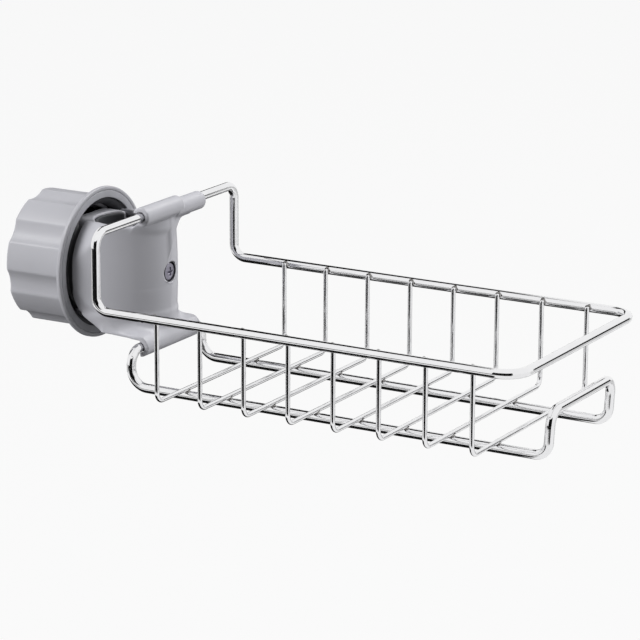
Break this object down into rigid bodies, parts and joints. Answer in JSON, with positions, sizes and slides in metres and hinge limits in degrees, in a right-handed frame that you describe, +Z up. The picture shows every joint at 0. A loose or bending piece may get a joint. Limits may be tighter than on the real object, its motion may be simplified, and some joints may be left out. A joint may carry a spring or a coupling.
{
  "type": "sponge holder",
  "caption": "Open wire basket for sponges on a plastic pipe clamp: a screwed jaw holds the basket's bars, and a fluted hand knob presses a sliding saddle on the pipe.",
  "frame": {"origin": "on the axis of the clamp's bore, at the middle of the clamp's height", "axes": "+Z up along the clamped pipe, +X from the pipe along the basket to its free end, +Y to the back"},
  "size_m": [0.2627, 0.114, 0.0793],
  "materials": {
    "stainless_wire": "polished",
    "grey_plastic": "satin",
    "dark_plastic": "satin",
    "black_rubber": "matt",
    "charcoal_rubber": "matt",
    "screw_steel": "satin"
  },
  "bodies": {
    "holder": {"basket_rim_wire": "stainless_wire", "basket_rail_wire": "stainless_wire", "cross_wire_1": "stainless_wire", "cross_wire_2": "stainless_wire", "cross_wire_3": "stainless_wire", "cross_wire_4": "stainless_wire", "cross_wire_5": "stainless_wire", "cross_wire_6": "stainless_wire", "cross_wire_7": "stainless_wire", "cross_wire_8": "stainless_wire", "clamp_bracket": "grey_plastic", "clamp_fork": "dark_plastic", "grip_pad": "black_rubber", "bracket_screw": "screw_steel", "screw_washer": "screw_steel"},
    "saddle": {"saddle": "grey_plastic", "saddle_pad": "black_rubber"},
    "knob": {"knob": "grey_plastic", "flange_ring": "charcoal_rubber", "pivot_screw": "screw_steel"}
  },
  "joints": [
    {"name": "saddle_slide", "type": "slide", "parent": "holder", "child": "saddle", "axis": [1, 0, 0], "range_m": [-0.01252, 0.00322]},
    {"name": "knob_turn", "type": "hinge", "parent": "saddle", "child": "knob", "pos_m": [0, 0, 0], "axis": [1, 0, 0], "range_deg": [-900, 230]}
  ],
  "couplings": [
    {"joint": "saddle_slide", "follows": "knob_turn", "m_per_rad": 0.00079577}
  ]
}
